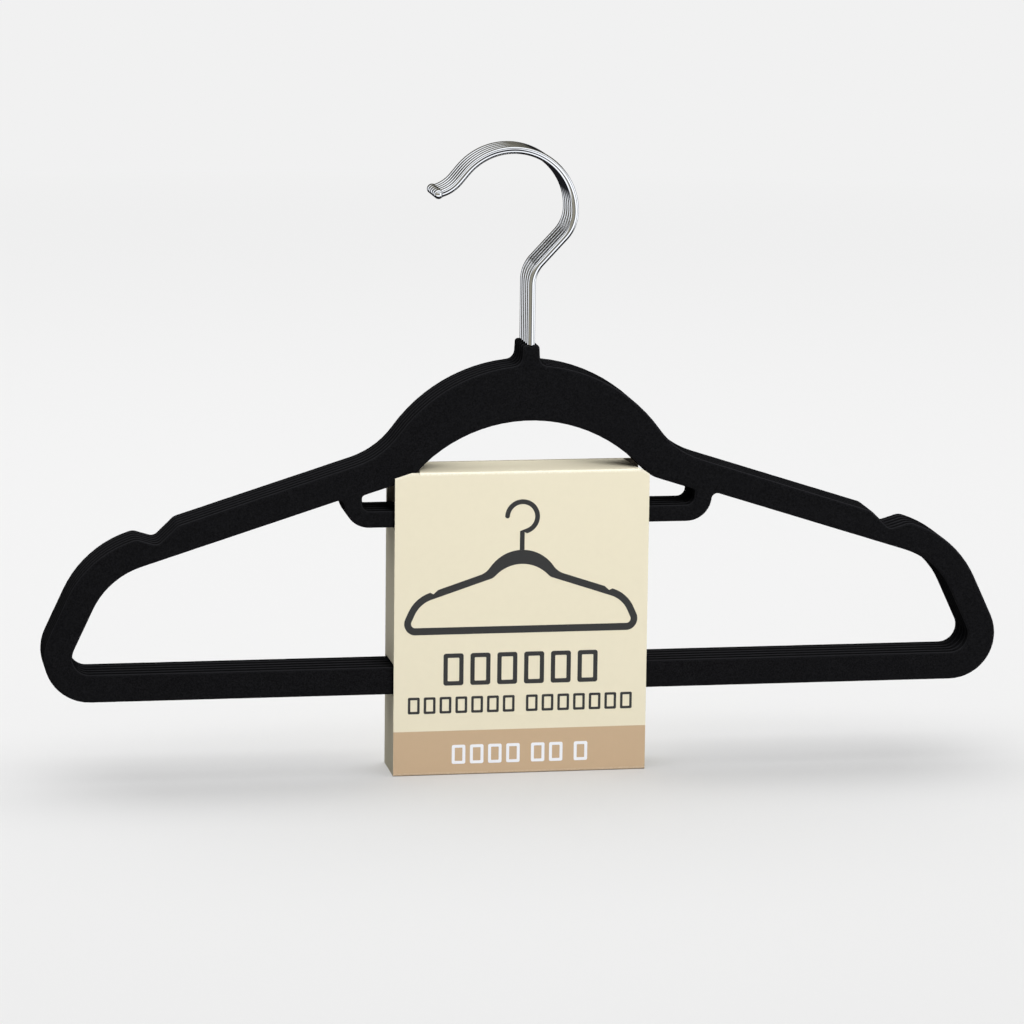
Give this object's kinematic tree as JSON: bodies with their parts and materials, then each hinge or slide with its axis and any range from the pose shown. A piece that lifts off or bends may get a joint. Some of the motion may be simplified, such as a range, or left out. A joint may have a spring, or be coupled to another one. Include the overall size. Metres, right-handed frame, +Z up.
{
  "type": "clothes hanger pack",
  "caption": "Nested velvet-flocked clothes hangers with swivelling chrome ball-tip hooks, held in a slotted paperboard carton whose front cover folds down.",
  "frame": {"origin": "on the standing plane under the hangers' middle, midway between the carton's front and back", "axes": "+X across the hangers to the right seen from the front, +Y from front to back, +Z up the hook stems"},
  "size_m": [0.42, 0.027, 0.2743],
  "materials": {
    "velvet": "short black nylon flock, matt with a faint sheen at grazing angles",
    "abs_core": "moulded black plastic, hidden under the flock",
    "chrome_wire": "polished chrome plate on bent steel wire",
    "board": "coated folding-carton board, cream outside",
    "printed_board": "coated folding-carton board, cream with a tan lower band and charcoal print"
  },
  "bodies": {
    "hanger_stack": {"carton_tray": "board", "hanger_core_1": "abs_core", "velvet_flock_1": "velvet", "hanger_core_2": "abs_core", "velvet_flock_2": "velvet", "hanger_core_3": "abs_core", "velvet_flock_3": "velvet", "hanger_core_4": "abs_core", "velvet_flock_4": "velvet", "hanger_core_5": "abs_core", "velvet_flock_5": "velvet"},
    "hook_body_1": {"hook_1": "chrome_wire"},
    "hook_body_2": {"hook_2": "chrome_wire"},
    "hook_body_3": {"hook_3": "chrome_wire"},
    "hook_body_4": {"hook_4": "chrome_wire"},
    "hook_body_5": {"hook_5": "chrome_wire"},
    "cover_body": {"carton_cover": "printed_board"}
  },
  "joints": [
    {"name": "hook_1_swivel", "type": "hinge", "parent": "hanger_stack", "child": "hook_body_1", "pos_m": [0, -0.0092, 0.1886], "axis": [0, 0, 1], "range_deg": [-30, 30]},
    {"name": "hook_2_swivel", "type": "hinge", "parent": "hanger_stack", "child": "hook_body_2", "pos_m": [0, -0.0046, 0.1886], "axis": [0, 0, 1], "range_deg": [-30, 30]},
    {"name": "hook_3_swivel", "type": "hinge", "parent": "hanger_stack", "child": "hook_body_3", "pos_m": [0, 0, 0.1886], "axis": [0, 0, 1], "range_deg": [-30, 30]},
    {"name": "hook_4_swivel", "type": "hinge", "parent": "hanger_stack", "child": "hook_body_4", "pos_m": [0, 0.0046, 0.1886], "axis": [0, 0, 1], "range_deg": [-30, 30]},
    {"name": "hook_5_swivel", "type": "hinge", "parent": "hanger_stack", "child": "hook_body_5", "pos_m": [0, 0.0092, 0.1886], "axis": [0, 0, 1], "range_deg": [-30, 30]},
    {"name": "cover_fold", "type": "hinge", "parent": "hanger_stack", "child": "cover_body", "pos_m": [-0.0034, -0.0135, 0], "axis": [1, 0, 0], "range_deg": [0, 90]}
  ],
  "couplings": [
    {"joint": "hook_1_swivel", "follows": "hook_3_swivel", "ratio": 1},
    {"joint": "hook_2_swivel", "follows": "hook_3_swivel", "ratio": 1},
    {"joint": "hook_4_swivel", "follows": "hook_3_swivel", "ratio": 1},
    {"joint": "hook_5_swivel", "follows": "hook_3_swivel", "ratio": 1}
  ]
}
